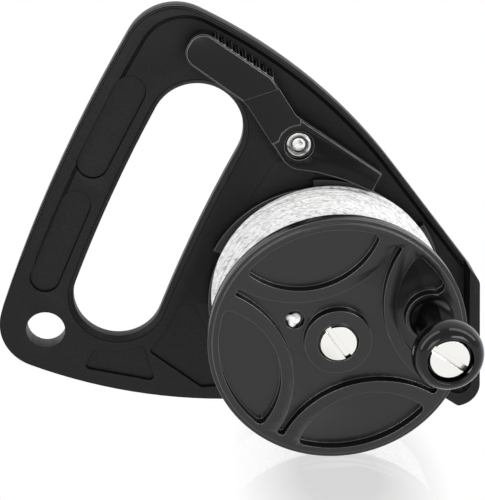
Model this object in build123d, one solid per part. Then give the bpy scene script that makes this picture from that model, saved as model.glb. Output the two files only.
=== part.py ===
from build123d import *
import math
import os

os.makedirs("parts", exist_ok=True)

# Hand-held dive reel, in millimetres.
# X to the right, Z up, Y away from the viewer, the spool turns about the Y axis.
# The origin is on the spool axis at the frame's flat back face.
# Heights are measured from that back face towards the viewer, so a height h lies at Y = -h.

# Clearances shared by the whole assembly
running_gap = 0.05
seat_gap = 0.02
side_gap = 0.3
overrun_length = 2.0

# Moulded frame: outline size, plate, rim bead
frame_width = 181.0
frame_height = 153.0
plate_thickness = 8.0
top_corner_radius = 19.2
left_corner_radius = 17.6
right_corner_radius = 4.0
lug_root_radius = 6.0
lug_tip_radius = 2.0
rim_width = 2.8
rim_height = 1.5
rim_ledge_width = 0.25
rim_bevel_width = 0.5
rim_slope_width = 1.2
rim_groove_height = 5.7
rim_groove_width = 0.6
rim_groove_depth = 0.35
rim_left_width = 6.3
rim_fade_length = 12.0
frame_top_corner_share = (-0.3387, 0.7421)
frame_left_corner_share = (-0.6956, -0.1359)
frame_left_bow_share = (-0.5404, 0.3163)
frame_upper_end_share = (0.1381, 0.3170)
frame_right_corner_share = (0.3173, 0.0381)
frame_lug_side_share = (0.3315, -0.2412)
frame_lug_bow_share = (0.3172, -0.2818)
frame_lug_tip_share = (0.2873, -0.2987)
frame_lug_root_share = (0.2265, -0.2497)
frame_bottom_low_share = (-0.1768, -0.2935)
frame_bottom_left_bow_share = (-0.4420, -0.2542)
frame_bottom_right_bow_share = (0.0249, -0.2826)
rim_fade_share = 0.033

# Grip opening for four gloved fingers
grip_width = 33.5
grip_bevel_width = 1.8
grip_top_share = (-0.2583, 0.4155)
grip_bow_share = (-0.3478, 0.2080)
grip_bottom_share = (-0.4260, -0.0060)

# Lanyard hole in the lower left corner
lanyard_radius = 7.3
lanyard_share = (-0.5785, -0.0895)

# Pockets moulded into the front
pocket_depth = 1.3
upper_pocket_radius = 5.8
upper_pocket_shares = ((-0.3901, 0.5098), (-0.4674, 0.3386))
lower_pocket_radius = 5.5
lower_pocket_shares = ((-0.5044, 0.2353), (-0.5740, 0.0484))
wedge_corner_radius = 1.5
wedge_pocket_shares = (
    (-0.5020, -0.1960), (-0.4800, -0.1470), (-0.4254, -0.1540), (-0.3762, -0.1392), (-0.3541, -0.2372),
)
corner_pocket_shares = (
    (-0.3650, -0.1550), (-0.3270, -0.0980), (-0.2990, -0.0330), (-0.2691, -0.0314),
    (-0.2425, -0.1052), (-0.2110, -0.1960), (-0.2200, -0.2560), (-0.2564, -0.2575),
)

# Guard wall and line guide lug on the right
guard_height = 9.5
guard_thickness = 4.4
guide_radius = 4.6
guide_wall_thickness = 5.9
guide_share = (0.2860, -0.2330)

# Spool: front flange, its radius in step with the frame's height
spool_share = 0.29608
flange_thickness = 5.6
flange_ledge_width = 1.5
flange_ledge_height = 0.8
star_arms = 4
star_turn = 15.5
star_depth = 3.8
star_rim_width = 4.7
star_circle_shares = (1.2010, 0.8189)
star_tip_radius = 1.0
lens_circle_shares = (1.0947, 0.6203)
lens_rim_width = 3.8
lens_tip_radius = 2.0
hub_boss_radius = 11.8

# Spool: ratchet flange at the back
tooth_count = 6
tooth_inset_width = 0.1
tooth_depth = 3.0
tooth_turn = 96.2
ratchet_thickness = 2.5
spool_running_gap = 1.0

# Spool: drum and line
drum_radius = 13.5
spool_inner_width = 37.4
line_diameter = 1.8
line_pack_inset_width = 2.3
line_turns = 6
line_end_bend_share = 1.25
gap_samples_per_turn = 72
arcs_per_turn = 2
line_sides = 4
least_line_gap = 0.4
neighbour_skip_share = 3.0
knot_radius = 2.7
knot_height = 1.2
anchor_hole_radius = 3.4
anchor_circle_share = 0.3650
anchor_angle = 153.75
knot_shift_width = 0.6

# Axle through the hub
axle_bolt_radius = 3.0
axle_head_radius = 6.3
axle_head_height = 2.4
axle_slot_width = 2.2
axle_slot_depth = 1.8
axle_slot_angle = -55.0
axle_sleeve_wall_thickness = 1.45
axle_nut_width = 10.0
axle_nut_height = 3.8
axle_nut_recess_depth = 0.9
hub_screw_height = 1.0
hub_washer_radius = 6.9
hub_washer_height = 0.8
hub_counterbore_radius = 7.2
hub_play_gap = 0.1
rear_washer_radius = 7.4
bush_wall_thickness = 1.95

# Keyed joint between the ratchet flange and the drum
key_width = 18.0

# Winding knob and its axle
knob_circle_share = 0.73074
knob_angle = 15.05
knob_length = 34.2
knob_head_radius = 12.0
knob_profile_shares = (
    (0.66, 0.0), (0.49, 0.12), (0.49, 0.50), (1.0, 0.80), (1.0, 0.90), (0.84, 1.0),
)
knob_recess_radius = 7.6
knob_recess_depth = 4.1
knob_boss_radius = 8.8
lens_clear_share = 1.5
knob_screw_head_radius = 6.5
knob_screw_head_height = 2.2
knob_screw_radius = 2.5
knob_slot_angle = -34.0
knob_shoulder_radius = 4.0
knob_washer_radius = 7.0
knob_washer_height = 0.7
knob_insert_radius = 4.0
knob_insert_length = 4.5
knob_thread_length = 4.2

# Brake lever: thumb pad, neck and pawl on one pivot
pivot_gap_width = 14.96
pivot_angle = 100.2
pawl_angle = 68.2
pawl_gap = 0.35
lever_thickness = 7.4
lever_boss_radius = 8.4
lever_hub_radius = 7.6
lever_end_share = 0.102
lever_shoulder_share = 0.133
lever_neck_share = 0.19
lever_pad_share = 0.3451
lever_edge_width = 0.5
neck_step_depth = 0.7
fin_count = 9
fin_thickness = 1.1
fin_root_length = 1.0
fin_front_length = 0.2
fin_back_length = 1.6
pawl_tip_radius = 0.6
pawl_top_radius = 0.8
pad_upper_end_share = (-0.670, 0.812)
pad_lower_end_share = (-0.792, 0.616)
pad_shoulder_share = (-0.186, 0.472)
pad_inner_share = (-0.020, 0.205)
neck_lower_share = (-0.357, 0.294)
pad_step_shares = ((-0.050, 0.424), (-0.460, 0.294), (-0.250, -0.020), (0.000, 0.100), (0.012, 0.200))
fin_start_share = 0.25
fin_end_share = 1.0
pawl_top_share = (0.961, 0.238)
pawl_lower_share = (0.645, -0.058)
pawl_root_share = (0.3505, -0.1466)
pawl_sweep_share = 0.47
boss_corner_share = (-0.469, -1.030)

# Lever pivot hardware
pivot_shank_radius = 3.2
pivot_flange_radius = 4.35
pivot_flange_height = 1.1
pivot_flange_recess_depth = 1.5
pivot_counterbore_radius = 5.3
pivot_screw_radius = 1.5
pivot_screw_head_radius = 2.35
pivot_screw_head_height = 1.0
pivot_screw_recess_depth = 0.4
pivot_screw_head_gap = 0.5
pivot_cross_width = 0.6
pivot_cross_length = 3.0
pivot_cross_depth = 0.5
pivot_insert_radius = 2.6
pivot_insert_length = 5.9
pivot_thread_length = 5.0
spring_pocket_radius = 5.9
spring_pocket_depth = 3.0
spring_coil_radius = 4.55
spring_wire_diameter = 0.8
spring_turns = 1
spring_leg_turn = 200.0
spring_leg_length = 1.4
lever_travel = 3.0

# Heights of the stacked parts, from the frame's back face towards the viewer
ratchet_back = plate_thickness + spool_running_gap
ratchet_front = ratchet_back + ratchet_thickness
flange_back = ratchet_front + spool_inner_width
flange_front = flange_back + flange_thickness
star_floor = flange_front - star_depth
axle_head_top = flange_front + hub_screw_height
axle_head_base = axle_head_top - axle_head_height
axle_sleeve_end = axle_head_base - hub_washer_height
hub_floor = axle_sleeve_end - hub_play_gap
knob_back = flange_front + knob_washer_height + 2 * running_gap
knob_front = knob_back + knob_length
knob_recess_floor = knob_front - knob_recess_depth
knob_screw_seat = knob_recess_floor + hub_play_gap
lever_back = plate_thickness + side_gap
lever_front = lever_back + lever_thickness
pivot_flange_top = lever_front - pivot_flange_recess_depth
pivot_flange_seat = pivot_flange_top - pivot_flange_height
guard_front = plate_thickness + guard_height

# Radii and places that follow from the sizes above
spool_radius = frame_height * spool_share
star_floor_radius = spool_radius - star_rim_width
star_circle_reach = spool_radius * star_circle_shares[0]
star_circle_radius = spool_radius * star_circle_shares[1]
lens_circle_reach = spool_radius * lens_circle_shares[0]
lens_circle_radius = spool_radius * lens_circle_shares[1]
lens_rim_radius = spool_radius - lens_rim_width
tooth_tip_radius = spool_radius - tooth_inset_width
knob_circle_radius = spool_radius * knob_circle_share
anchor_circle_radius = spool_radius * anchor_circle_share
pivot_circle_radius = spool_radius + pivot_gap_width
lever_pad_length = frame_height * lever_pad_share
axle_sleeve_radius = axle_bolt_radius + running_gap + axle_sleeve_wall_thickness
bush_inner_radius = axle_sleeve_radius + running_gap
bush_outer_radius = bush_inner_radius + bush_wall_thickness
hub_bore_radius = bush_outer_radius + seat_gap
line_pack_radius = spool_radius - line_pack_inset_width
line_centre_radius = line_pack_radius - line_diameter / 2
tooth_root_radius = tooth_tip_radius - tooth_depth
tooth_angle = 360 / tooth_count


def polar(radius, angle):
    return (radius * math.cos(math.radians(angle)), radius * math.sin(math.radians(angle)))


def on_frame(share):
    return (share[0] * frame_width, share[1] * frame_height)


def frame_points(shares):
    return [on_frame(share) for share in shares]


def height_plane(height):
    return Plane.XZ.offset(height)


def prism(sketch, low, high):
    return extrude(height_plane(low) * sketch, high - low)


def disc(radius, low, high, centre=(0, 0)):
    return prism(Pos(*centre) * Circle(radius), low, high)


def tube(outer, inner, low, high, centre=(0, 0)):
    return prism(Pos(*centre) * (Circle(outer) - Circle(inner)), low, high)


def rounded_face(points, radii):
    return make_face(FilletPolyline(*points, radius=radii, close=True))


def slot_between(start, end, radius):
    middle = ((start[0] + end[0]) / 2, (start[1] + end[1]) / 2)
    return SlotCenterPoint(middle, end, 2 * radius)


def level_edges(solid, height):
    flat = []
    for edge in solid.edges():
        box = edge.bounding_box()
        if abs(box.min.Y + height) < seat_gap and abs(box.max.Y + height) < seat_gap:
            flat.append(edge)
    return ShapeList(flat)


def slotted_head(radius, low, high, slot_angle, centre=(0, 0)):
    head = disc(radius, low, high, centre)
    slot = Pos(*centre) * Rot(0, 0, slot_angle) * Rectangle(2 * (radius + overrun_length), axle_slot_width)
    return head - prism(slot, high - axle_slot_depth, high + overrun_length)


def helix_point(angle, start_angle, radius, pitch, start, centre):
    y = start - pitch * (angle - start_angle) / (2 * math.pi)
    return Vector(centre[0] + radius * math.cos(angle), y, centre[1] + radius * math.sin(angle))


def helix_tangent(angle, radius, pitch):
    rise = -pitch / (2 * math.pi)
    return Vector(-radius * math.sin(angle), rise, radius * math.cos(angle)).normalized()


def biarc(start, start_tangent, end, end_tangent):
    span = end - start
    turn = start_tangent + end_tangent
    square = turn.dot(turn) - 4
    linear = -2 * span.dot(turn)
    constant = span.dot(span)
    arm = (-linear - math.sqrt(linear * linear - 4 * square * constant)) / (2 * square)
    joint = ((start + start_tangent * arm) + (end - end_tangent * arm)) / 2
    first = Edge.make_tangent_arc(start, start_tangent, joint)
    second = Edge.make_tangent_arc(joint, first.tangent_at(1), end)
    return [first, second]


def wound_path(radius, turns, pitch, first_height, bend, straight, start_angle, centre=(0, 0)):
    """One winding: a straight end along the axis, a bend, the turns, a bend and a straight end."""
    towards_viewer = Vector(0, -1, 0)
    bend_turn = bend / radius
    start_y = -(first_height + straight + bend)
    edges = []
    angles = []
    step = 2 * math.pi / arcs_per_turn
    for index in range(turns * arcs_per_turn + 1):
        angles.append(start_angle + index * step)
    points = [helix_point(angle, start_angle, radius, pitch, start_y, centre) for angle in angles]
    tangents = [helix_tangent(angle, radius, pitch) for angle in angles]
    lead = start_angle - bend_turn
    lead_y = start_y + bend
    lead_point = Vector(centre[0] + radius * math.cos(lead), lead_y, centre[1] + radius * math.sin(lead))
    edges.append(Edge.make_line(lead_point - towards_viewer * straight, lead_point))
    edges += biarc(lead_point, towards_viewer, points[0], tangents[0])
    for index in range(len(points) - 1):
        edges += biarc(points[index], tangents[index], points[index + 1], tangents[index + 1])
    tail = angles[-1] + bend_turn
    tail_y = points[-1].Y - bend
    tail_point = Vector(centre[0] + radius * math.cos(tail), tail_y, centre[1] + radius * math.sin(tail))
    edges += biarc(points[-1], tangents[-1], tail_point, towards_viewer)
    edges.append(Edge.make_line(tail_point, tail_point + towards_viewer * straight))
    return Wire(edges)


def wound_tube(path, diameter, sides):
    section = Plane(origin=path @ 0, z_dir=path % 0) * RegularPolygon(diameter / 2, sides)
    return sweep(section, path=path)


def least_gap(path, diameter, samples):
    points = [path @ (index / samples) for index in range(samples + 1)]
    spacing = path.length / samples
    apart = math.ceil(neighbour_skip_share * diameter / spacing)
    least = path.length
    for index, point in enumerate(points):
        for other in points[index + apart:]:
            least = min(least, (point - other).length)
    return least - diameter


# Frame outline: bowed left and upper edges, a curved foot and a lug at the lower right
top_corner = on_frame(frame_top_corner_share)
left_corner = on_frame(frame_left_corner_share)
upper_end = on_frame(frame_upper_end_share)
right_corner = on_frame(frame_right_corner_share)
lug_side = on_frame(frame_lug_side_share)
lug_tip = on_frame(frame_lug_tip_share)
lug_root = on_frame(frame_lug_root_share)
bottom_low = on_frame(frame_bottom_low_share)
left_bow = ThreePointArc(left_corner, on_frame(frame_left_bow_share), top_corner)
upper_side = Line(right_corner, upper_end)
upper_bow = TangentArc(upper_end, top_corner, tangent=upper_side % 1)
outline_curves = Curve() + [
    left_bow,
    upper_bow,
    upper_side,
    Line(right_corner, lug_side),
    ThreePointArc(lug_side, on_frame(frame_lug_bow_share), lug_tip),
    Line(lug_tip, lug_root),
    ThreePointArc(lug_root, on_frame(frame_bottom_right_bow_share), bottom_low),
    ThreePointArc(bottom_low, on_frame(frame_bottom_left_bow_share), left_corner),
]
frame_outline = make_face(outline_curves)
for corner, radius in (
    (top_corner, top_corner_radius),
    (left_corner, left_corner_radius),
    (right_corner, right_corner_radius),
    (lug_tip, lug_tip_radius),
    (lug_root, lug_root_radius),
):
    vertex = frame_outline.vertices().sort_by_distance((corner[0], corner[1], 0))[0]
    frame_outline = fillet(vertex, radius)

# Openings and pockets of the frame
grip_line = ThreePointArc(on_frame(grip_bottom_share), on_frame(grip_bow_share), on_frame(grip_top_share))
grip_opening = SlotArc(grip_line, grip_width)
lanyard_centre = on_frame(lanyard_share)
guide_centre = on_frame(guide_share)
pockets = [
    slot_between(*frame_points(upper_pocket_shares), upper_pocket_radius),
    slot_between(*frame_points(lower_pocket_shares), lower_pocket_radius),
    rounded_face(frame_points(wedge_pocket_shares), wedge_corner_radius),
    rounded_face(frame_points(corner_pocket_shares), wedge_corner_radius),
]
pivot = polar(pivot_circle_radius, pivot_angle)
guard_band = make_face(Polyline(
    (right_corner[0] - guard_thickness, right_corner[1] + guard_height),
    (right_corner[0] + overrun_length, right_corner[1] + guard_height),
    (lug_side[0] + overrun_length, lug_side[1]),
    (lug_side[0] - guard_thickness, lug_side[1]),
    close=True,
))
guard_pad = Pos(*guide_centre) * Circle(guide_radius + guide_wall_thickness)
guard_face = frame_outline & (guard_band + guard_pad)


def bowed_corner(left_inset, upper_inset):
    left_disc = Pos(left_bow.arc_center) * Circle(left_bow.radius - left_inset)
    upper_disc = Pos(upper_bow.arc_center) * Circle(upper_bow.radius - upper_inset)
    along = upper_side % 1
    inward = Vector(-along.Y, along.X) * upper_inset
    side_wedge = make_face(Polyline((0, 0), upper_side @ 0 + inward, upper_side @ 1 + inward, close=True))
    face = left_disc & (upper_disc + side_wedge)
    tip = face.vertices().sort_by_distance((top_corner[0], top_corner[1], 0))[0]
    return fillet(tip, top_corner_radius - upper_inset)


# Rim bead along the left and upper edges: a small outer bevel, a wide inner slope, a fading lower end
rim_start = frame_height * rim_fade_share
rim_end = right_corner[0] - rim_ledge_width
rim_zone = make_face(Polyline(
    (-frame_width, rim_start),
    (-frame_width, frame_height),
    (rim_end, frame_height),
    (rim_end, right_corner[1]),
    (0, rim_start),
    close=True,
))
rim_top = plate_thickness + rim_height
rim_band = bowed_corner(rim_ledge_width, rim_ledge_width) - bowed_corner(rim_left_width, rim_width)
rim = prism(rim_band & rim_zone, plate_thickness - rim_height, rim_top)
rim_middle = bowed_corner(rim_width / 2, rim_width / 2)
outer_edges = []
for edge in level_edges(rim, rim_top):
    place = edge @ 0.5
    if edge.length > top_corner_radius and rim_middle.distance_to(Vertex(place.X, place.Z, 0)) > seat_gap:
        outer_edges.append(edge)
rim = chamfer(outer_edges, rim_bevel_width)
inner_edges = []
for edge in level_edges(rim, rim_top):
    place = edge @ 0.5
    if edge.length > top_corner_radius / 2 and rim_middle.distance_to(Vertex(place.X, place.Z, 0)) < seat_gap:
        inner_edges.append(edge)
rim = chamfer(inner_edges, rim_slope_width)
fade_cut = Polyline(
    (rim_start - overrun_length, plate_thickness),
    (rim_start, plate_thickness),
    (rim_start + rim_fade_length, rim_top),
    (rim_start + rim_fade_length, rim_top + overrun_length),
    (rim_start - overrun_length, rim_top + overrun_length),
    close=True,
)
fade_plane = Plane(origin=(-frame_width, 0, 0), x_dir=(0, 0, 1), z_dir=(1, 0, 0))
rim -= extrude(fade_plane * make_face(fade_cut), frame_width / 2)
rim_groove = rim_zone - bowed_corner(rim_groove_depth, rim_groove_depth)

# Frame body
plate = prism(frame_outline, 0, plate_thickness)
plate = plate - prism(grip_opening, -overrun_length, plate_thickness + overrun_length)
grip_edges = []
for face_height in (0, plate_thickness):
    for edge in level_edges(plate, face_height):
        middle = edge @ 0.5
        if grip_opening.distance_to(Vertex(middle.X, middle.Z, 0)) < seat_gap:
            grip_edges.append(edge)
plate = chamfer(grip_edges, grip_bevel_width)
frame_body = plate + rim + prism(guard_face, plate_thickness - rim_height, guard_front)
frame_body -= prism(rim_groove, rim_groove_height, rim_groove_height + rim_groove_width)
for pocket in pockets:
    frame_body -= prism(pocket, plate_thickness - pocket_depth, plate_thickness + overrun_length)
frame_body -= disc(lanyard_radius, -overrun_length, plate_thickness + overrun_length, lanyard_centre)
frame_body -= disc(guide_radius, -overrun_length, guard_front + overrun_length, guide_centre)
frame_body -= disc(axle_bolt_radius + running_gap, -overrun_length, plate_thickness + overrun_length)
nut_pocket = RegularPolygon(axle_nut_width / 2 + running_gap, 6, major_radius=False)
nut_pocket_depth = axle_nut_recess_depth + axle_nut_height
frame_body -= prism(nut_pocket, -overrun_length, nut_pocket_depth)
insert_floor = plate_thickness - pivot_insert_length - running_gap
frame_body -= disc(pivot_insert_radius + seat_gap, insert_floor, plate_thickness + overrun_length, pivot)
spring_bend = spring_wire_diameter
spring_pitch = spring_wire_diameter + side_gap
spring_leg_angle = math.radians(spring_leg_turn)
spring_lead = spring_leg_angle - spring_bend / spring_coil_radius
spring_hole = (
    pivot[0] + spring_coil_radius * math.cos(spring_lead),
    pivot[1] + spring_coil_radius * math.sin(spring_lead),
)
spring_hole_radius = spring_wire_diameter / 2 + running_gap
spring_hole_floor = plate_thickness - spring_leg_length - running_gap
frame_body -= disc(spring_hole_radius, spring_hole_floor, plate_thickness + overrun_length, spring_hole)

# Axle: slotted bolt, sleeve, washers and the nut that sits in the frame's back
axle_head = slotted_head(axle_head_radius, axle_head_base, axle_head_top, axle_slot_angle)
axle_bolt = axle_head + disc(axle_bolt_radius, axle_nut_recess_depth, axle_head_base)
nut_bore = axle_bolt_radius + seat_gap
nut_face = RegularPolygon(axle_nut_width / 2, 6, major_radius=False) - Circle(nut_bore)
axle_nut = prism(nut_face, axle_nut_recess_depth, nut_pocket_depth)
axle_sleeve = tube(axle_sleeve_radius, axle_bolt_radius + running_gap, plate_thickness, axle_sleeve_end)
rear_washer_top = ratchet_back - running_gap
rear_thrust_washer = tube(rear_washer_radius, bush_inner_radius, plate_thickness, rear_washer_top)
hub_thrust_washer = tube(hub_washer_radius, axle_bolt_radius + running_gap, axle_sleeve_end, axle_head_base)

# Rear flange: a thin wheel whose rim ramps up to six square steps
ratchet_curves = Curve()
for index in range(tooth_count):
    tip_angle = tooth_turn + index * tooth_angle
    tip = polar(tooth_tip_radius, tip_angle)
    middle = polar(tooth_tip_radius - tooth_depth / 2, tip_angle - tooth_angle / 2)
    root = polar(tooth_root_radius, tip_angle - tooth_angle)
    next_tip = polar(tooth_tip_radius, tip_angle - tooth_angle)
    ratchet_curves += ThreePointArc(tip, middle, root)
    ratchet_curves += Line(root, next_tip)
key_face = RegularPolygon(key_width / 2, 6, major_radius=False)
key_socket = RegularPolygon(key_width / 2 + seat_gap, 6, major_radius=False)
ratchet_flange = prism(make_face(ratchet_curves) - key_socket, ratchet_back, ratchet_front)

# Spool body: front flange and drum in one moulding
flange_ledge = spool_radius - flange_ledge_width
flange_profile = make_face(Polyline(
    (0, ratchet_front),
    (drum_radius, ratchet_front),
    (drum_radius, flange_back),
    (spool_radius, flange_back),
    (spool_radius, flange_front - flange_ledge_height),
    (flange_ledge, flange_front - flange_ledge_height),
    (flange_ledge, flange_front),
    (0, flange_front),
    close=True,
))
turned_spool = revolve(mirror(flange_profile, about=Plane.XZ), axis=Axis.Y)
turned_spool += prism(key_face, ratchet_back, ratchet_front + overrun_length)
knob_centre = polar(knob_circle_radius, knob_angle)
star_recess = Circle(star_floor_radius)
lens_angles = [star_turn + index * 360 / star_arms for index in range(star_arms)]
for angle in lens_angles:
    star_recess -= Pos(*polar(star_circle_reach, angle)) * Circle(star_circle_radius)
star_recess = fillet(star_recess.vertices(), star_tip_radius)
star_recess -= Circle(hub_boss_radius)
recesses = [star_recess]
for index, angle in enumerate(lens_angles):
    lens = Circle(lens_rim_radius) & (Pos(*polar(lens_circle_reach, angle)) * Circle(lens_circle_radius))
    if index == 0:
        knob_side = Pos(*knob_centre) * Circle(knob_boss_radius)
        knob_rim = Pos(*polar(lens_rim_radius, knob_angle)) * Circle(knob_boss_radius)
        crescent = lens - knob_side - knob_rim
        rim_vertices = []
        lens_vertices = []
        for vertex in crescent.vertices():
            from_knob = math.hypot(vertex.X - knob_centre[0], vertex.Y - knob_centre[1])
            reach = math.hypot(vertex.X, vertex.Y)
            if from_knob > lens_clear_share * knob_boss_radius and reach > lens_rim_radius - seat_gap:
                lens_vertices.append(vertex)
            elif reach > lens_rim_radius - seat_gap:
                rim_vertices.append(vertex)
        lens = fillet(lens_vertices + rim_vertices, lens_tip_radius)
    else:
        lens = fillet(lens.vertices(), lens_tip_radius)
    recesses.append(lens)
spool_body = turned_spool
for recess in recesses:
    spool_body -= prism(recess, star_floor, flange_front + overrun_length)
spool_body -= disc(hub_bore_radius, ratchet_back - overrun_length, flange_front + overrun_length)
spool_body -= disc(hub_counterbore_radius, hub_floor, flange_front + overrun_length)
anchor = polar(anchor_circle_radius, anchor_angle)
spool_body -= disc(anchor_hole_radius, flange_back - overrun_length, flange_front, anchor)
insert_pocket_floor = flange_front - knob_insert_length - running_gap
insert_pocket_radius = knob_insert_radius + seat_gap
spool_body -= disc(insert_pocket_radius, insert_pocket_floor, flange_front + overrun_length, knob_centre)

# Acetal bush that runs on the sleeve through the whole hub
hub_bush = tube(bush_outer_radius, bush_inner_radius, ratchet_back, hub_floor)

# Line: a plain core under one wound outer layer, and the knot that anchors it
core_radius = line_centre_radius - line_diameter / 2 - seat_gap
line_core = tube(core_radius, drum_radius + seat_gap, ratchet_front, flange_back)
line_bend = line_diameter * line_end_bend_share
line_ends = 2 * (line_diameter + line_bend) + 2 * seat_gap
line_pitch = (spool_inner_width - line_ends) / line_turns
line_path = wound_path(
    line_centre_radius, line_turns, line_pitch, ratchet_front + seat_gap,
    line_bend, line_diameter, math.radians(anchor_angle),
)
line_winding = wound_tube(line_path, line_diameter, line_sides)
line_gap = least_gap(line_path, line_diameter, line_turns * gap_samples_per_turn)
print("line gap", round(line_gap, 2), "mm, least allowed", least_line_gap, "mm")
section_area = line_sides * (line_diameter / 2) ** 2 * math.sin(2 * math.pi / line_sides) / 2
line_fill = line_winding.volume / (section_area * line_path.length)
print("line volume", round(line_fill, 4), "of section times length")
knot_place = (anchor[0] - knot_shift_width, anchor[1])
knot_low = flange_back + seat_gap
knot_top = star_floor + knot_height
line_knot = disc(knot_radius, knot_low, knot_top, knot_place)

# Winding knob: flared foot, waisted stem and a rounded mushroom head
knob_points = [(0, knob_back)]
for radius_share, height_share in knob_profile_shares:
    knob_points.append((knob_head_radius * radius_share, knob_back + knob_length * height_share))
knob_points.append((0, knob_front))
knob_profile = make_face(Polyline(knob_points, close=True))
knob_turned = revolve(mirror(knob_profile, about=Plane.XZ), axis=Axis.Y)
winding_knob = Pos(knob_centre[0], 0, knob_centre[1]) * knob_turned
winding_knob -= disc(knob_recess_radius, knob_recess_floor, knob_front + overrun_length, knob_centre)
winding_knob -= disc(knob_shoulder_radius + running_gap, knob_back - overrun_length, knob_front, knob_centre)

# Knob axle: a shoulder screw in a brass insert in the flange
knob_screw_top = knob_screw_seat + knob_screw_head_height
knob_axle_screw = slotted_head(
    knob_screw_head_radius, knob_screw_seat, knob_screw_top, knob_slot_angle, knob_centre,
)
knob_axle_screw += disc(knob_shoulder_radius, flange_front, knob_screw_seat, knob_centre)
knob_axle_screw += disc(knob_screw_radius, flange_front - knob_thread_length, flange_front, knob_centre)
washer_top = flange_front + knob_washer_height
washer_bore = knob_shoulder_radius + running_gap
knob_washer = tube(knob_washer_radius, washer_bore, flange_front, washer_top, knob_centre)
knob_insert_bore = knob_screw_radius + seat_gap
knob_insert_low = flange_front - knob_insert_length
knob_insert = tube(knob_insert_radius, knob_insert_bore, knob_insert_low, flange_front, knob_centre)

# Brake lever: the pawl reaches the ratchet's ramp, the pad carries the thumb serrations
tooth_fall = ((tooth_turn - pawl_angle) % tooth_angle) / tooth_angle
ramp_radius = tooth_tip_radius - tooth_depth * tooth_fall
pawl_tip = polar(ramp_radius + pawl_gap, pawl_angle)
pawl_span = (pawl_tip[0] - pivot[0], pawl_tip[1] - pivot[1])


def on_pawl(share):
    along, across = share
    return (
        pivot[0] + pawl_span[0] * along - pawl_span[1] * across,
        pivot[1] + pawl_span[1] * along + pawl_span[0] * across,
    )


def on_pad(share):
    return (pivot[0] + share[0] * lever_pad_length, pivot[1] + share[1] * lever_pad_length)


boss_corner = (
    pivot[0] + lever_boss_radius * boss_corner_share[0],
    pivot[1] + lever_boss_radius * boss_corner_share[1],
)
lever_end_radius = lever_pad_length * lever_end_share
pawl_sweep_radius = lever_pad_length * pawl_sweep_share
lever_outline = [
    (on_pad(pad_upper_end_share), lever_end_radius),
    (on_pad(pad_shoulder_share), lever_pad_length * lever_shoulder_share),
    (on_pad(pad_inner_share), pawl_top_radius),
    (on_pawl(pawl_top_share), pawl_top_radius),
    (pawl_tip, pawl_tip_radius),
    (on_pawl(pawl_lower_share), pawl_sweep_radius),
    (on_pawl(pawl_root_share), pawl_sweep_radius),
    (boss_corner, lever_boss_radius),
    (on_pad(neck_lower_share), lever_pad_length * lever_neck_share),
    (on_pad(pad_lower_end_share), lever_end_radius),
]
lever_corners = [corner for corner, radius in lever_outline]
lever_radii = [radius for corner, radius in lever_outline]
lever_face = rounded_face(lever_corners, lever_radii)
boss_face = Pos(*pivot) * Circle(lever_hub_radius)
brake_lever = prism(lever_face, lever_back, lever_front)
brake_lever = chamfer(level_edges(brake_lever, lever_front), lever_edge_width)
neck_zone = make_face(Polyline([on_pad(share) for share in pad_step_shares], close=True))
neck_zone -= boss_face
brake_lever -= prism(neck_zone, lever_front - neck_step_depth, lever_front + overrun_length)
pad_start = Vector(*on_pad(pad_upper_end_share))
pad_edge = Vector(*on_pad(pad_shoulder_share)) - pad_start
fin_profile = make_face(Polyline(
    (-fin_root_length, lever_back),
    (fin_back_length, lever_back),
    (fin_front_length, lever_front - lever_edge_width),
    (-fin_root_length, lever_front - lever_edge_width),
    close=True,
))
for index in range(fin_count):
    share = fin_start_share + (fin_end_share - fin_start_share) * index / (fin_count - 1)
    place = pad_start + pad_edge * share
    fin_plane = Plane(origin=(place.X, 0, place.Y), x_dir=(0, 0, 1), z_dir=(1, 0, 0))
    brake_lever += extrude(fin_plane * fin_profile, fin_thickness / 2, both=True)
bore_radius = pivot_shank_radius + running_gap
brake_lever -= disc(bore_radius, lever_back - overrun_length, lever_front + overrun_length, pivot)
counterbore_floor = pivot_flange_seat - running_gap
brake_lever -= disc(pivot_counterbore_radius, counterbore_floor, lever_front + overrun_length, pivot)
spring_pocket_top = lever_back + spring_pocket_depth
brake_lever -= disc(spring_pocket_radius, lever_back - overrun_length, spring_pocket_top, pivot)

# Pivot: flanged sleeve, cross-head screw and a brass insert in the frame
pivot_sleeve = disc(pivot_shank_radius, plate_thickness, pivot_flange_seat, pivot)
pivot_sleeve += disc(pivot_flange_radius, pivot_flange_seat, pivot_flange_top, pivot)
screw_head_top = pivot_flange_top - pivot_screw_recess_depth
screw_head_low = screw_head_top - pivot_screw_head_height
pivot_sleeve -= disc(pivot_screw_radius + running_gap, plate_thickness - overrun_length, lever_front, pivot)
pivot_sleeve -= disc(pivot_screw_head_radius + pivot_screw_head_gap, screw_head_low, lever_front, pivot)
pivot_screw = disc(pivot_screw_head_radius, screw_head_low, screw_head_top, pivot)
pivot_screw += disc(pivot_screw_radius, plate_thickness - pivot_thread_length, screw_head_low, pivot)
pivot_cross = Rectangle(pivot_cross_length, pivot_cross_width)
pivot_cross += Rectangle(pivot_cross_width, pivot_cross_length)
pivot_screw -= prism(Pos(*pivot) * pivot_cross, screw_head_top - pivot_cross_depth, lever_front)
insert_inner = pivot_screw_radius + seat_gap
insert_low = plate_thickness - pivot_insert_length
pivot_insert = tube(pivot_insert_radius, insert_inner, insert_low, plate_thickness, pivot)

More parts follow.
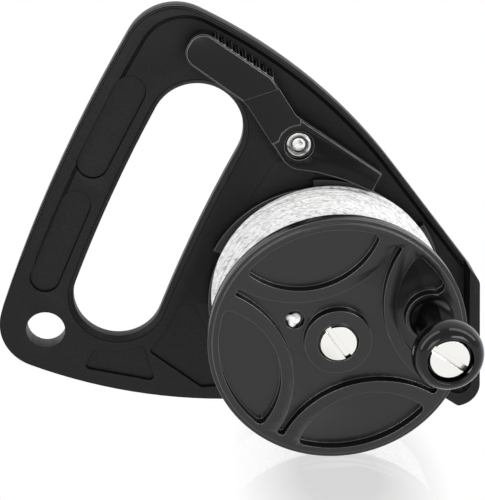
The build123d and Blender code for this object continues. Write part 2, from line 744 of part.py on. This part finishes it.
# Torsion spring: one leg in the frame, the other in the lever
spring_path = wound_path(
    spring_coil_radius, spring_turns, spring_pitch, plate_thickness - spring_leg_length, spring_bend,
    spring_leg_length, spring_leg_angle, pivot,
)
lever_spring = wound_tube(spring_path, spring_wire_diameter, line_sides)
spring_end = spring_path @ 1
spring_travel = math.radians(lever_travel)
leg_offset = math.atan2(spring_end.Z - pivot[1], spring_end.X - pivot[0]) - spring_travel / 2
leg_hole = (
    pivot[0] + spring_coil_radius * math.cos(leg_offset),
    pivot[1] + spring_coil_radius * math.sin(leg_offset),
)
leg_hole_radius = spring_wire_diameter / 2 + spring_coil_radius * spring_travel / 2 + running_gap
leg_hole_end = -spring_end.Y + running_gap
brake_lever -= disc(leg_hole_radius, lever_back, leg_hole_end, leg_hole)

nodes = {
    "frame_body": frame_body,
    "axle_bolt": axle_bolt,
    "axle_sleeve": axle_sleeve,
    "axle_nut": axle_nut,
    "rear_thrust_washer": rear_thrust_washer,
    "hub_thrust_washer": hub_thrust_washer,
    "ratchet_flange": ratchet_flange,
    "spool_body": spool_body,
    "hub_bush": hub_bush,
    "line_core": line_core,
    "line_winding": line_winding,
    "line_knot": line_knot,
    "winding_knob": winding_knob,
    "knob_axle_screw": knob_axle_screw,
    "knob_washer": knob_washer,
    "knob_insert": knob_insert,
    "brake_lever": brake_lever,
    "lever_pivot_sleeve": pivot_sleeve,
    "lever_pivot_screw": pivot_screw,
    "lever_pivot_insert": pivot_insert,
    "lever_spring": lever_spring,
}
for name, shape in nodes.items():
    export_step(shape, f"parts/{name}.step")
    print(name, len(shape.solids()), round(shape.volume, 1))
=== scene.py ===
import math
import random

import bmesh
import bpy
from mathutils import Matrix, Vector


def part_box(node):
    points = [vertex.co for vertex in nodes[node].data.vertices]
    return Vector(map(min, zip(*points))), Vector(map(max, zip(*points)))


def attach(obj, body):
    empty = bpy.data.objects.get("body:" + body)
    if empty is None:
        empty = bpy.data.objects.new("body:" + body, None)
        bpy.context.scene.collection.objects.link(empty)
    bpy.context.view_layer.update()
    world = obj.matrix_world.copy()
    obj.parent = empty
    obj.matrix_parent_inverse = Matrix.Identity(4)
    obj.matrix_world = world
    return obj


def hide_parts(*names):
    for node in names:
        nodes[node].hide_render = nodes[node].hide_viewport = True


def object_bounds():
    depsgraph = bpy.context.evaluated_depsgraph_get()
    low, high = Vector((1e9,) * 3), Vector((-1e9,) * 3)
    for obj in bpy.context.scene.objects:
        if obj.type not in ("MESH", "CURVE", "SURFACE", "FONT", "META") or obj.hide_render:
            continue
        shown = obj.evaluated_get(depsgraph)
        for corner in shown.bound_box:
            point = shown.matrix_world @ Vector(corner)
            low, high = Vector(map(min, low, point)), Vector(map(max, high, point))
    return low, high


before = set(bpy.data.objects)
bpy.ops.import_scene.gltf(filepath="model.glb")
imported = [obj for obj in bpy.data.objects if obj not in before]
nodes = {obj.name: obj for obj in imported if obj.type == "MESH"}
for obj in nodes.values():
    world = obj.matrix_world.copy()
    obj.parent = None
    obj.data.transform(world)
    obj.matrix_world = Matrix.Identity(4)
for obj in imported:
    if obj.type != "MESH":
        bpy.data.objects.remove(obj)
cad_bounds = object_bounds()


# Studio: a white table that the reel stands on, polished under the spool, and a white wall behind.
# Two high side boxes light the line, and two front boxes draw the bright edges on the black plastic, whose
# edges on the lever and spool are also painted lighter as painted highlights.
room_light = 0.6


def white_room(name, brightness):
    """An even light on the reel, which the camera sees as pure white."""
    world = bpy.data.worlds.new(name)
    world.use_nodes = True
    tree = world.node_tree
    lit = tree.nodes["Background"]
    lit.inputs["Color"].default_value = (brightness, brightness, brightness, 1.0)
    seen = tree.nodes.new("ShaderNodeBackground")
    seen.inputs["Color"].default_value = (1.0, 1.0, 1.0, 1.0)
    ray_kind = tree.nodes.new("ShaderNodeLightPath")
    seen_or_lit = tree.nodes.new("ShaderNodeMixShader")
    tree.links.new(ray_kind.outputs["Is Camera Ray"], seen_or_lit.inputs["Fac"])
    tree.links.new(lit.outputs["Background"], seen_or_lit.inputs[1])
    tree.links.new(seen.outputs["Background"], seen_or_lit.inputs[2])
    tree.links.new(seen_or_lit.outputs["Shader"], tree.nodes["World Output"].inputs["Surface"])
    return world


bpy.context.scene.world = white_room("white_room", room_light)
bpy.context.scene.view_settings.view_transform = "Standard"

studio_size = 6.0
table_height = cad_bounds[0][2]
polish_centre_y = -0.06225
polish_reach_x = 0.038
polish_reach_y = 0.075
polish_fade_share = 0.65
polish_share = 0.34
polish_roughness = 0.06


def polished_white(name):
    """Glowing white with a glossy spot under the spool. The gloss fades out round the spot's rim."""
    material = bpy.data.materials.new(name)
    material.use_nodes = True
    tree = material.node_tree
    plain_glow = tree.nodes.new("ShaderNodeEmission")
    plain_glow.inputs["Strength"].default_value = 1.0
    spot_glow = tree.nodes.new("ShaderNodeEmission")
    spot_glow.inputs["Strength"].default_value = 1.0 - polish_share
    spot_gloss = tree.nodes.new("ShaderNodeBsdfGlossy")
    spot_gloss.inputs["Color"].default_value = (polish_share, polish_share, polish_share, 1.0)
    spot_gloss.inputs["Roughness"].default_value = polish_roughness
    spot = tree.nodes.new("ShaderNodeAddShader")
    tree.links.new(spot_glow.outputs["Emission"], spot.inputs[0])
    tree.links.new(spot_gloss.outputs["BSDF"], spot.inputs[1])
    place = tree.nodes.new("ShaderNodeTexCoord")
    centred = tree.nodes.new("ShaderNodeMapping")
    centred.inputs["Location"].default_value = (0.0, -polish_centre_y / polish_reach_y, 0.0)
    centred.inputs["Scale"].default_value = (1 / polish_reach_x, 1 / polish_reach_y, 0.0)
    tree.links.new(place.outputs["Object"], centred.inputs["Vector"])
    fade = tree.nodes.new("ShaderNodeTexGradient")
    fade.gradient_type = "SPHERICAL"
    tree.links.new(centred.outputs["Vector"], fade.inputs["Vector"])
    strength = tree.nodes.new("ShaderNodeMapRange")
    strength.inputs["From Max"].default_value = polish_fade_share
    tree.links.new(fade.outputs["Fac"], strength.inputs["Value"])
    mix = tree.nodes.new("ShaderNodeMixShader")
    tree.links.new(strength.outputs["Result"], mix.inputs["Fac"])
    tree.links.new(plain_glow.outputs["Emission"], mix.inputs[1])
    tree.links.new(spot.outputs["Shader"], mix.inputs[2])
    tree.links.new(mix.outputs["Shader"], tree.nodes["Material Output"].inputs["Surface"])
    return material


def studio_sheet(name, material, tilt, place):
    """A large square that lies flat, or stands when it is tilted."""
    shape = bmesh.new()
    bmesh.ops.create_grid(shape, x_segments=1, y_segments=1, size=studio_size / 2)
    tilted = Matrix.Rotation(tilt, 3, "X")
    bmesh.ops.rotate(shape, verts=shape.verts, cent=(0.0, 0.0, 0.0), matrix=tilted)
    bmesh.ops.translate(shape, verts=shape.verts, vec=place)
    mesh = bpy.data.meshes.new(name)
    shape.to_mesh(mesh)
    shape.free()
    mesh.materials.append(material)
    sheet = bpy.data.objects.new(name, mesh)
    bpy.context.scene.collection.objects.link(sheet)
    return sheet


table = studio_sheet("studio_table", polished_white("table_white"), 0.0, (0.0, 0.0, table_height))

wall_distance = 1.3
wall_tilt = math.radians(90)
wall_place = (0.0, wall_distance, table_height + studio_size / 2)


def glowing_white(name):
    material = bpy.data.materials.new(name)
    material.use_nodes = True
    tree = material.node_tree
    glow = tree.nodes.new("ShaderNodeEmission")
    glow.inputs["Strength"].default_value = 1.0
    tree.links.new(glow.outputs["Emission"], tree.nodes["Material Output"].inputs["Surface"])
    return material


wall = studio_sheet("studio_wall", glowing_white("wall_white"), wall_tilt, wall_place)

side_box_size = (0.30, 1.10)
side_box_target = (0.0, -0.03, 0.02)
front_box_size = (0.42, 0.42)
front_box_target = (0.02, -0.05, 0.02)


def soft_box(name, place, target, size, brightness):
    """A rectangular lamp that shines from its place at its target."""
    width, height = size
    light = bpy.data.lights.new(name, "AREA")
    light.shape = "RECTANGLE"
    light.size = width
    light.size_y = height
    light.energy = brightness * math.pi * width * height
    lamp = bpy.data.objects.new(name, light)
    lamp.location = place
    lamp.rotation_euler = (Vector(target) - Vector(place)).to_track_quat("-Z", "Y").to_euler()
    bpy.context.scene.collection.objects.link(lamp)


soft_box("left_box", (-0.645, -0.10, 0.52), side_box_target, side_box_size, brightness=2.6)
soft_box("right_box", (0.535, -0.10, 0.636), side_box_target, side_box_size, brightness=3.0)
soft_box("front_left_box", (-0.33, -1.05, 0.14), front_box_target, front_box_size, brightness=3.6)
soft_box("front_right_box", (0.42, -1.00, 0.24), front_box_target, front_box_size, brightness=5.4)


# Camera: it looks down on the upright reel from the front, a little from its left.
# The lens is the photograph's, in pixels across the frame.
picture_width = 485
lens_in_pixels = 1403.3
sensor_width = 36.0
camera_elevation = math.radians(21.43)
camera_yaw = math.radians(3.48)
camera_place = (-0.0599, -0.4923, 0.2074)
camera_data = bpy.data.cameras.new("photo_camera")
camera_data.sensor_fit = "HORIZONTAL"
camera_data.sensor_width = sensor_width
camera_data.lens = lens_in_pixels * sensor_width / picture_width
camera = bpy.data.objects.new("photo_camera", camera_data)
camera.location = camera_place
camera.rotation_euler = (math.pi / 2 - camera_elevation, 0.0, -camera_yaw)
bpy.context.scene.collection.objects.link(camera)
bpy.context.scene.camera = camera


# Frame: one flat moulding of black glass-filled plastic with a fine spark texture.
# Its pockets and rim bead have the small radii that a mould leaves. These rounded edges are matt and painted
# darker, as painted shade that outlines the pockets.
def plain_material(name, colour, roughness, metallic=0.0, specular=0.5):
    material = bpy.data.materials.new(name)
    material.use_nodes = True
    shader = material.node_tree.nodes["Principled BSDF"]
    shader.inputs["Base Color"].default_value = (*colour, 1.0)
    shader.inputs["Roughness"].default_value = roughness
    shader.inputs["Metallic"].default_value = metallic
    shader.inputs["Specular IOR Level"].default_value = specular
    return material


def grained_plastic(name, colour, roughness, specular, grain_size, grain_depth, speckle):
    """Moulded plastic with a bumpy grain. The grain's tops are lighter, by the factor speckle."""
    material = plain_material(name, colour, roughness, specular=specular)
    tree = material.node_tree
    shader = tree.nodes["Principled BSDF"]
    place = tree.nodes.new("ShaderNodeTexCoord")
    grain = tree.nodes.new("ShaderNodeTexNoise")
    grain.inputs["Scale"].default_value = 1.0 / grain_size
    grain.inputs["Detail"].default_value = 2.0
    grain.inputs["Roughness"].default_value = 0.6
    tree.links.new(place.outputs["Object"], grain.inputs["Vector"])
    bump = tree.nodes.new("ShaderNodeBump")
    bump.inputs["Strength"].default_value = 0.6
    bump.inputs["Distance"].default_value = grain_depth
    tree.links.new(grain.outputs["Fac"], bump.inputs["Height"])
    tree.links.new(bump.outputs["Normal"], shader.inputs["Normal"])
    tone = tree.nodes.new("ShaderNodeValToRGB")
    tone.color_ramp.elements[0].position = 0.35
    tone.color_ramp.elements[1].position = 0.75
    tone.color_ramp.elements[0].color = (*colour, 1.0)
    tone.color_ramp.elements[1].color = (*[channel * speckle for channel in colour], 1.0)
    tree.links.new(grain.outputs["Fac"], tone.inputs["Fac"])
    tree.links.new(tone.outputs["Color"], shader.inputs["Base Color"])
    return material


def moulded_copy(node, name, edge_radius, material, edge_material=None, merge_distance=0.00008):
    """A copy of a CAD node with its flat faces joined and every real edge rounded."""
    flat_angle = math.radians(0.6)
    sharp_angle = math.radians(28)
    shape = bmesh.new()
    shape.from_mesh(nodes[node].data)
    bmesh.ops.remove_doubles(shape, verts=shape.verts, dist=merge_distance)
    bmesh.ops.dissolve_limit(
        shape, angle_limit=flat_angle, verts=shape.verts, edges=shape.edges, use_dissolve_boundaries=False,
    )
    mesh = bpy.data.meshes.new(name)
    shape.to_mesh(mesh)
    shape.free()
    mesh.shade_smooth()
    piece = bpy.data.objects.new(name, mesh)
    bpy.context.scene.collection.objects.link(piece)
    mesh.materials.append(material)
    edges = piece.modifiers.new("moulded_edges", "BEVEL")
    edges.width = edge_radius
    edges.segments = 3
    edges.limit_method = "ANGLE"
    edges.angle_limit = sharp_angle
    edges.harden_normals = True
    edges.use_clamp_overlap = False
    if edge_material:
        mesh.materials.append(edge_material)
        edges.material = 1
    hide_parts(node)
    return piece


frame_plastic = grained_plastic(
    "frame_black", (0.0035, 0.0035, 0.0036), roughness=0.42, specular=0.21,
    grain_size=0.0009, grain_depth=0.0001, speckle=2.4,
)
# Painted shade: the rounded edges take this darker, matt black, so that the pockets get dark outlines.
frame_shaded_edge = grained_plastic(
    "frame_edge_painted_shade", (0.0008, 0.0008, 0.0008), roughness=0.6, specular=0.0,
    grain_size=0.0009, grain_depth=0.0001, speckle=1.8,
)
frame_edge_radius = 0.00011
frame_moulding = moulded_copy("frame_body", "frame_moulding", frame_edge_radius, frame_plastic, frame_shaded_edge)
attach(frame_moulding, "frame")


# Spool: front flange and drum in one moulding, smoother than the frame.
# The star and lens recesses and the stepped rim keep crisp but rounded edges, which are painted lighter than
# the faces as painted highlights.
spool_plastic = grained_plastic(
    "spool_black", (0.0045, 0.0045, 0.0047), roughness=0.24, specular=0.52,
    grain_size=0.0006, grain_depth=0.00002, speckle=1.4,
)
# Painted highlight: the rounded edges take a lighter, glossier black that draws thin bright lines.
spool_edge_highlight = plain_material("spool_edge_painted_highlight", (0.040, 0.040, 0.0405), roughness=0.10, specular=1.0)
spool_edge_radius = 0.00018
spool_moulding = moulded_copy("spool_body", "spool_moulding", spool_edge_radius, spool_plastic, spool_edge_highlight)
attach(spool_moulding, "spool")


# Ratchet flange: the thin rear wheel whose rim ramps up to square steps.
# It is moulded from the same plastic and keyed onto the drum.
# Its rounded edges carry the spool's painted highlight too.
ratchet_wheel = moulded_copy("ratchet_flange", "ratchet_wheel", spool_edge_radius, spool_plastic, spool_edge_highlight)
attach(ratchet_wheel, "spool")


# Brake lever: a smooth black moulding with a thumb pad, a row of grip fins and a pawl.
# It swings on the pivot sleeve, and its edges are painted lighter than its faces, as painted highlights.
lever_plastic = grained_plastic(
    "lever_black", (0.0035, 0.0035, 0.0037), roughness=0.20, specular=0.24,
    grain_size=0.0008, grain_depth=0.00001, speckle=1.2,
)
# Painted highlight: a light grey on the rounded edges stands in for the bright lines that light draws there.
lever_edge_highlight = plain_material("lever_edge_painted_highlight", (0.16, 0.16, 0.161), roughness=0.10, specular=1.0)
lever_edge_radius = 0.00008
lever_merge_distance = 0.00015
thumb_lever = moulded_copy(
    "brake_lever", "thumb_lever", lever_edge_radius, lever_plastic, lever_edge_highlight, lever_merge_distance,
)
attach(thumb_lever, "lever")


# Winding knob: polished black, turned about its own axle.
# A flared foot, a waisted stem and a mushroom head with a round screw recess.
knob_low, knob_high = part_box("winding_knob")
knob_axis_x = (knob_low.x + knob_high.x) / 2
knob_axis_z = (knob_low.z + knob_high.z) / 2
knob_radius = (knob_high.x - knob_low.x) / 2
knob_foot_y = knob_high.y
knob_length = knob_high.y - knob_low.y
knob_bore = 0.0043
knob_recess_radius = 0.0076
knob_recess_depth = 0.0041
knob_lip_radius = 0.0004
knob_corner_radius = 0.0002
knob_merge_distance = 0.000001
knob_spin_steps = 48
knob_rounding_levels = 2
knob_profile_shares = (
    (0.64, 0.000), (0.66, 0.012), (0.58, 0.06), (0.49, 0.15), (0.475, 0.32), (0.485, 0.47), (0.56, 0.58),
    (0.74, 0.665), (0.94, 0.735), (1.0, 0.80), (0.99, 0.87), (0.935, 0.935), (0.84, 0.98), (0.72, 1.0),
)
knob_outline = [(knob_bore, 0.0)]
for radius_share, length_share in knob_profile_shares:
    knob_outline.append((knob_radius * radius_share, knob_length * length_share))
knob_recess_floor = knob_length - knob_recess_depth
knob_outline.append((knob_recess_radius + knob_lip_radius, knob_length))
knob_outline.append((knob_recess_radius, knob_length - knob_lip_radius))
knob_outline.append((knob_recess_radius, knob_recess_floor + knob_corner_radius))
knob_outline.append((knob_recess_radius - knob_corner_radius, knob_recess_floor))
knob_outline.append((knob_bore, knob_recess_floor))
knob_shape = bmesh.new()
knob_chain = [knob_shape.verts.new((radius, -height, 0.0)) for radius, height in knob_outline]
knob_edges = [knob_shape.edges.new(pair) for pair in zip(knob_chain, knob_chain[1:] + knob_chain[:1])]
bmesh.ops.spin(
    knob_shape, geom=knob_chain + knob_edges, cent=(0.0, 0.0, 0.0), axis=(0.0, 1.0, 0.0),
    dvec=(0.0, 0.0, 0.0), angle=2 * math.pi, steps=knob_spin_steps,
    use_merge=True, use_normal_flip=False, use_duplicate=False,
)
bmesh.ops.remove_doubles(knob_shape, verts=knob_shape.verts, dist=knob_merge_distance)
bmesh.ops.recalc_face_normals(knob_shape, faces=knob_shape.faces)
bmesh.ops.translate(knob_shape, verts=knob_shape.verts, vec=(knob_axis_x, knob_foot_y, knob_axis_z))
knob_mesh = bpy.data.meshes.new("turned_knob")
knob_shape.to_mesh(knob_mesh)
knob_shape.free()
knob_mesh.shade_smooth()
turned_knob = bpy.data.objects.new("turned_knob", knob_mesh)
bpy.context.scene.collection.objects.link(turned_knob)
knob_black = plain_material("knob_black", (0.002, 0.002, 0.0021), roughness=0.12, specular=0.36)
knob_mesh.materials.append(knob_black)
knob_rounding = turned_knob.modifiers.new("rounding", "SUBSURF")
knob_rounding.levels = knob_rounding_levels
knob_rounding.render_levels = knob_rounding_levels
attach(turned_knob, "knob")
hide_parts("winding_knob")


# Bright hardware: two slotted screws, a small cross-head screw and the flanged pivot sleeve, all nickel.
# Each is turned, so its edges are only just broken. The sleeve's countersunk mouth is painted darker, as
# painted shade and a painted reflection of the dark lever.
nickel_colour = (0.90, 0.89, 0.87)
nickel_roughness = 0.14


def mouth_shaded_nickel(name, low, high):
    """Nickel for a round piece inside this box, with painted shade and a painted reflection of the dark
    lever: dark in its mouth and bright at its rim.
    """
    material = plain_material(name, nickel_colour, nickel_roughness, metallic=1.0)
    tree = material.node_tree
    outer_radius = (high.x - low.x) / 2
    centre_x_in_radii = (low.x + high.x) / (2 * outer_radius)
    centre_z_in_radii = (low.z + high.z) / (2 * outer_radius)
    place = tree.nodes.new("ShaderNodeTexCoord")
    centred = tree.nodes.new("ShaderNodeMapping")
    centred.inputs["Location"].default_value = (-centre_x_in_radii, 0.0, -centre_z_in_radii)
    centred.inputs["Scale"].default_value = (1 / outer_radius, 0.0, 1 / outer_radius)
    tree.links.new(place.outputs["Object"], centred.inputs["Vector"])
    reach = tree.nodes.new("ShaderNodeVectorMath")
    reach.operation = "LENGTH"
    tree.links.new(centred.outputs["Vector"], reach.inputs[0])
    # Painted shade: the ramp runs from near black in the mouth, through greys, to bright nickel at the rim.
    tone = tree.nodes.new("ShaderNodeValToRGB")
    tone.color_ramp.elements[0].position = 0.56
    tone.color_ramp.elements[0].color = (0.01, 0.01, 0.01, 1.0)
    tone.color_ramp.elements[1].position = 0.86
    tone.color_ramp.elements[1].color = (0.66, 0.655, 0.64, 1.0)
    for reach_share, grey in ((0.63, 0.16), (0.80, 0.30)):
        tone.color_ramp.elements.new(reach_share).color = (grey, grey, grey, 1.0)
    tree.links.new(reach.outputs["Value"], tone.inputs["Fac"])
    tree.links.new(tone.outputs["Color"], tree.nodes["Principled BSDF"].inputs["Base Color"])
    return material


nickel = plain_material("bright_nickel", nickel_colour, nickel_roughness, metallic=1.0)
sleeve_low, sleeve_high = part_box("lever_pivot_sleeve")
sleeve_painted_shade_nickel = mouth_shaded_nickel("sleeve_painted_shade_nickel", sleeve_low, sleeve_high)
for node, name, body, edge_radius, finish in (
    ("axle_bolt", "hub_bolt", "frame", 0.0001, nickel),
    ("knob_axle_screw", "knob_screw", "spool", 0.0001, nickel),
    ("lever_pivot_sleeve", "pivot_ring", "frame", 0.00008, sleeve_painted_shade_nickel),
    ("lever_pivot_screw", "pivot_cross_screw", "frame", 0.00006, nickel),
):
    hardware = moulded_copy(node, name, edge_radius, finish)
    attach(hardware, body)


# Plain hardware, mostly out of sight: the axle's sleeve, its nut and the lever's spring are steel.
# The washers and the bush are black acetal, and the threaded inserts are brass.
steel = plain_material("plain_steel", (0.55, 0.55, 0.55), roughness=0.35, metallic=1.0)
acetal = plain_material("black_acetal", (0.01, 0.01, 0.01), roughness=0.3)
brass = plain_material("insert_brass", (0.72, 0.52, 0.25), roughness=0.3, metallic=1.0)
for material, names in (
    (steel, ("axle_sleeve", "axle_nut", "lever_spring")),
    (acetal, ("rear_thrust_washer", "hub_thrust_washer", "hub_bush", "knob_washer")),
    (brass, ("knob_insert", "lever_pivot_insert")),
):
    for name in names:
        nodes[name].data.materials.clear()
        nodes[name].data.materials.append(material)


# Line: white braided cord wound full on the drum, turn beside turn.
# The outer layer wanders a little, and short strands of the same cord cross it at a slant.
line_low, line_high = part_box("line_core")
pack_back_y = line_high.y
pack_front_y = line_low.y
pack_width = pack_back_y - pack_front_y
cord_diameter = 0.00165
pack_outer_radius = 0.0429
layer_radius = pack_outer_radius - cord_diameter / 2
turn_pitch = 0.00152
points_per_turn = 72
wander = 0.00022
wander_rate = 0.31
shiver_rate = 1.7
slack_turns = 7
slack_rise = 0.0004
slack_rate = 3.3
ripple_rise = 0.00012
ripple_rate = 0.77
fill_dip = 0.0008
fill_dip_power = 3
fill_swell = 0.0005
fill_swell_power = 6
swell_angle = math.radians(20)
crossing_count = 26
crossing_steps = 16
crossing_rise = 0.0005
crossing_rise_power = 0.5
crossing_degrees = (50, 80)
crossing_start_share = 0.3
crossing_reach_shares = (0.10, 0.28)


def braided_cord(name, colour, gap_shade_colour):
    """White braid with painted shade: short dark marks in the gaps between its strands, and long ones,
    painted shadows of crossing strands, that slant a little across each turn.
    """
    material = plain_material(name, colour, roughness=0.8, specular=0.15)
    tree = material.node_tree
    shader = tree.nodes["Principled BSDF"]
    place = tree.nodes.new("ShaderNodeTexCoord")
    parts = tree.nodes.new("ShaderNodeSeparateXYZ")
    tree.links.new(place.outputs["Object"], parts.inputs["Vector"])
    turn = tree.nodes.new("ShaderNodeMath")
    turn.operation = "ARCTAN2"
    tree.links.new(parts.outputs["Z"], turn.inputs[0])
    tree.links.new(parts.outputs["X"], turn.inputs[1])
    around = tree.nodes.new("ShaderNodeMath")
    around.operation = "MULTIPLY"
    around.inputs[1].default_value = pack_outer_radius
    tree.links.new(turn.outputs["Value"], around.inputs[0])
    unrolled = tree.nodes.new("ShaderNodeCombineXYZ")
    tree.links.new(around.outputs["Value"], unrolled.inputs["X"])
    tree.links.new(parts.outputs["Y"], unrolled.inputs["Y"])
    shade_marks = []
    # Painted shade: the short marks darken the braid's gaps, and the long marks paint the shadows of
    # crossing strands.
    for length, width, tilt, dark_share, light_share in (
        (0.0022, 0.0005, math.radians(14), 0.30, 0.50),
        (0.012, 0.0007, math.radians(9), 0.32, 0.40),
    ):
        slant = tree.nodes.new("ShaderNodeMapping")
        slant.vector_type = "TEXTURE"
        slant.inputs["Rotation"].default_value = (0.0, 0.0, tilt)
        slant.inputs["Scale"].default_value = (length, width, 1.0)
        tree.links.new(unrolled.outputs["Vector"], slant.inputs["Vector"])
        weave = tree.nodes.new("ShaderNodeTexNoise")
        weave.inputs["Scale"].default_value = 1.0
        weave.inputs["Detail"].default_value = 1.0
        tree.links.new(slant.outputs["Vector"], weave.inputs["Vector"])
        tone = tree.nodes.new("ShaderNodeMapRange")
        tone.inputs["From Min"].default_value = dark_share
        tone.inputs["From Max"].default_value = light_share
        tree.links.new(weave.outputs["Fac"], tone.inputs["Value"])
        shade_marks.append(tone)
    shade = tree.nodes.new("ShaderNodeMath")
    shade.operation = "MULTIPLY"
    tree.links.new(shade_marks[0].outputs["Result"], shade.inputs[0])
    tree.links.new(shade_marks[1].outputs["Result"], shade.inputs[1])
    tint = tree.nodes.new("ShaderNodeValToRGB")
    tint.color_ramp.elements[0].color = (*gap_shade_colour, 1.0)
    tint.color_ramp.elements[1].color = (*colour, 1.0)
    tree.links.new(shade.outputs["Value"], tint.inputs["Fac"])
    tree.links.new(tint.outputs["Color"], shader.inputs["Base Color"])
    bump = tree.nodes.new("ShaderNodeBump")
    bump.inputs["Strength"].default_value = 0.5
    bump.inputs["Distance"].default_value = 0.0002
    tree.links.new(shade.outputs["Value"], bump.inputs["Height"])
    tree.links.new(bump.outputs["Normal"], shader.inputs["Normal"])
    return material


def wound_cord(name, runs, diameter, material):
    """One round cord for each run of points, all in one curve."""
    curve = bpy.data.curves.new(name, "CURVE")
    curve.dimensions = "3D"
    curve.bevel_depth = diameter / 2
    curve.bevel_resolution = 1
    curve.use_fill_caps = True
    for points in runs:
        spline = curve.splines.new("POLY")
        spline.points.add(len(points) - 1)
        for spot, point in zip(spline.points, points):
            spot.co = (*point, 1.0)
    curve.materials.append(material)
    cord = bpy.data.objects.new(name, curve)
    bpy.context.scene.collection.objects.link(cord)
    return cord


# Painted shade: this grey goes into the braid's gaps and the crossing strands' shadows.
white_cord = braided_cord("white_braid", (0.86, 0.86, 0.855), gap_shade_colour=(0.50, 0.50, 0.50))
wind_random = random.Random(7)
turn_count = int((pack_width - cord_diameter) / turn_pitch)
first_turn_y = pack_back_y - cord_diameter / 2
last_turn_y = pack_front_y + cord_diameter / 2
# Six phases are drawn and four are used. The strands that cross take the draws after the six.
drawn_phases = [wind_random.uniform(0.0, 2 * math.pi) for _ in range(6)]
wander_phase, shiver_phase, slack_phase, ripple_phase = drawn_phases[:4]
layer_points = []
for index in range(turn_count * points_per_turn + 1):
    angle = 2 * math.pi * index / points_per_turn
    sway = wander * math.sin(wander_rate * angle + wander_phase)
    sway += wander * math.sin(shiver_rate * angle + shiver_phase)
    slack = max(0.0, 1.0 - index / (slack_turns * points_per_turn))
    rise = slack * slack_rise * math.sin(slack_rate * angle + slack_phase)
    rise += ripple_rise * math.sin(ripple_rate * angle + ripple_phase)
    dip = fill_dip * max(0.0, -math.cos(angle)) ** fill_dip_power
    swell = fill_swell * max(0.0, math.cos(angle - swell_angle)) ** fill_swell_power
    radius = layer_radius + rise - dip + swell
    along = first_turn_y - turn_pitch * index / points_per_turn
    along = min(max(along + sway, last_turn_y), first_turn_y)
    layer_points.append((radius * math.cos(angle), along, radius * math.sin(angle)))
cord_runs = [layer_points]
for _ in range(crossing_count):
    first_angle = wind_random.uniform(0.0, 2 * math.pi)
    crossing_angle = math.radians(wind_random.uniform(*crossing_degrees))
    first_along = wind_random.uniform(pack_front_y + crossing_start_share * pack_width, first_turn_y)
    crossing_reach = wind_random.uniform(*crossing_reach_shares) * pack_width
    crossing_points = []
    for step in range(crossing_steps + 1):
        share = step / crossing_steps
        angle = first_angle + share * crossing_angle
        radius = layer_radius + crossing_rise * math.sin(math.pi * share) ** crossing_rise_power
        along = first_along - share * crossing_reach
        crossing_points.append((radius * math.cos(angle), along, radius * math.sin(angle)))
    cord_runs.append(crossing_points)
line_layer = wound_cord("wound_line", cord_runs, cord_diameter, white_cord)
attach(line_layer, "spool")
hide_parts("line_winding")

# The core's two flat ends lie against the black flanges. They are painted in the flanges' black plastic, as
# painted shade in the deep anchor hole that shows the front end.
shaded_end_facing = 0.9
core_mesh = nodes["line_core"].data
core_mesh.materials.clear()
core_mesh.materials.append(white_cord)
core_mesh.materials.append(spool_plastic)
for face in core_mesh.polygons:
    face.material_index = 1 if abs(face.normal.y) > shaded_end_facing else 0


# Anchor knot: the line's inner end, knotted in the flange's small hole.
# It is one short white cord that follows a trefoil, tied on itself and pulled tight.
knot_low, knot_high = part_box("line_knot")
knot_centre = (knot_low + knot_high) / 2
knot_reach = (knot_high.x - knot_low.x) / 2
knot_loop_share = 0.23
knot_weave_share = 0.30
knot_depth_share = 0.62
knot_cord_share = 0.66
knot_steps = 48
knot_points = []
for index in range(knot_steps + 1):
    turn = 2 * math.pi * index / knot_steps
    across = knot_reach * knot_loop_share * (math.sin(turn) + 2 * math.sin(2 * turn))
    up = knot_reach * knot_loop_share * (math.cos(turn) - 2 * math.cos(2 * turn))
    deep = -knot_reach * knot_weave_share * math.sin(3 * turn)
    knot_y = knot_low.y + knot_reach * knot_depth_share + deep
    knot_points.append((knot_centre.x + across, knot_y, knot_centre.z + up))
# Painted light: the knot is a lighter white than the line of the same cord, to offset the shade in its hole.
knot_lit_white = plain_material("knot_lit_white", (0.92, 0.92, 0.915), roughness=0.8)
tied_knot = wound_cord("tied_knot", [knot_points], knot_reach * knot_cord_share, knot_lit_white)
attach(tied_knot, "spool")
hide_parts("line_knot")
